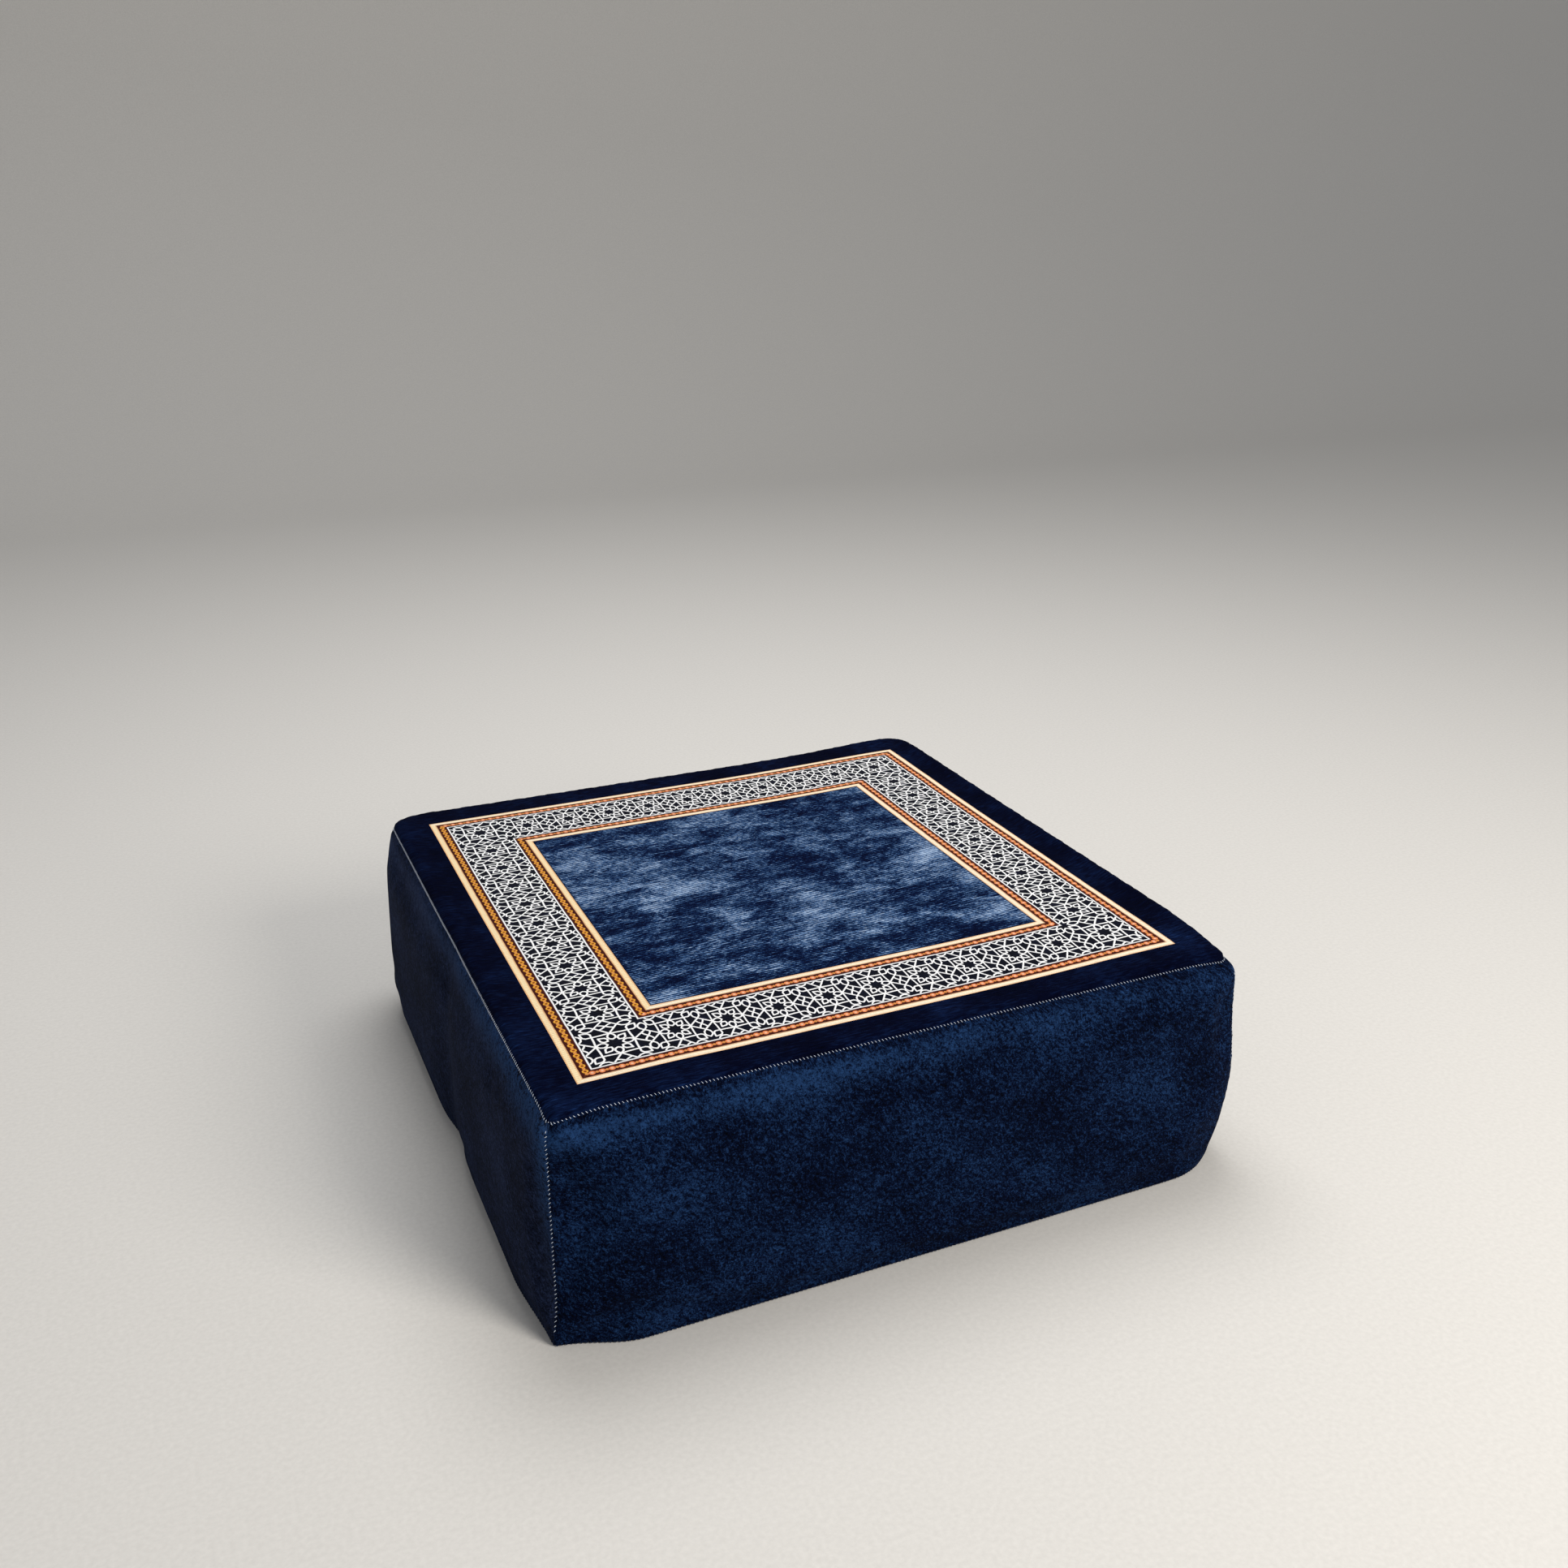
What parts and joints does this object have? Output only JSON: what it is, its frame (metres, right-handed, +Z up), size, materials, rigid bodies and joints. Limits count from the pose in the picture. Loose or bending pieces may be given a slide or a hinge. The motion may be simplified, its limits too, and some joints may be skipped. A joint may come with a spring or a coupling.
{
  "type": "floor cushion",
  "caption": "Square box floor cushion in navy velvet with a printed top, pale seam stitching and a zipped back.",
  "frame": {"origin": "middle of the base face, where the cushion rests on the floor", "axes": "+X to the right along the front face, +Y to the back face with the zip, +Z up through the printed top"},
  "size_m": [0.6014, 0.6071, 0.2],
  "materials": {
    "printed_velvet": "printed velvet, star lattice border round a distressed blue field",
    "navy_velvet": "crushed velvet",
    "base_cloth": "plain weave base cloth",
    "lining": "plain cotton lining",
    "wadding": "polyester wadding",
    "foam": "open cell polyurethane foam",
    "pale_thread": "pale blue thread",
    "navy_thread": "navy thread",
    "zip_tape": "woven polyester tape",
    "zip_coil": "nylon coil",
    "zip_metal": "enamelled zinc"
  },
  "bodies": {
    "cushion": {"foam_core": "foam", "wadding_base": "wadding", "wadding_top": "wadding", "wadding_band": "wadding", "lining_base": "lining", "lining_top": "lining", "lining_band": "lining", "top_panel": "printed_velvet", "base_panel": "base_cloth", "front_panel": "navy_velvet", "left_panel": "navy_velvet", "right_panel": "navy_velvet", "back_panel_lower": "navy_velvet", "back_panel_upper": "navy_velvet", "top_seam_thread": "pale_thread", "corner_thread_front_left": "pale_thread", "corner_thread_front_right": "pale_thread", "corner_thread_back_left": "pale_thread", "corner_thread_back_right": "pale_thread", "base_seam_thread": "navy_thread", "zip_thread_upper": "navy_thread", "zip_thread_lower": "navy_thread", "zip_tape_upper": "zip_tape", "zip_tape_lower": "zip_tape", "zip_coil_upper": "zip_coil", "zip_coil_lower": "zip_coil", "zip_top_stops": "zip_metal", "zip_bottom_stop": "zip_metal"},
    "slider": {"zip_slider": "zip_metal"},
    "pull": {"zip_pull": "zip_metal"}
  },
  "joints": [
    {"name": "zip_slide", "type": "slide", "parent": "cushion", "child": "slider", "axis": [-1, 0, 0], "range_m": [0, 0.455], "deforming": ["zip_coil_upper", "zip_coil_lower"]},
    {"name": "pull_hinge", "type": "hinge", "parent": "slider", "child": "pull", "pos_m": [0.2278, 0.30405, 0.055], "axis": [0, 0, -1], "range_deg": [0, 175]}
  ]
}
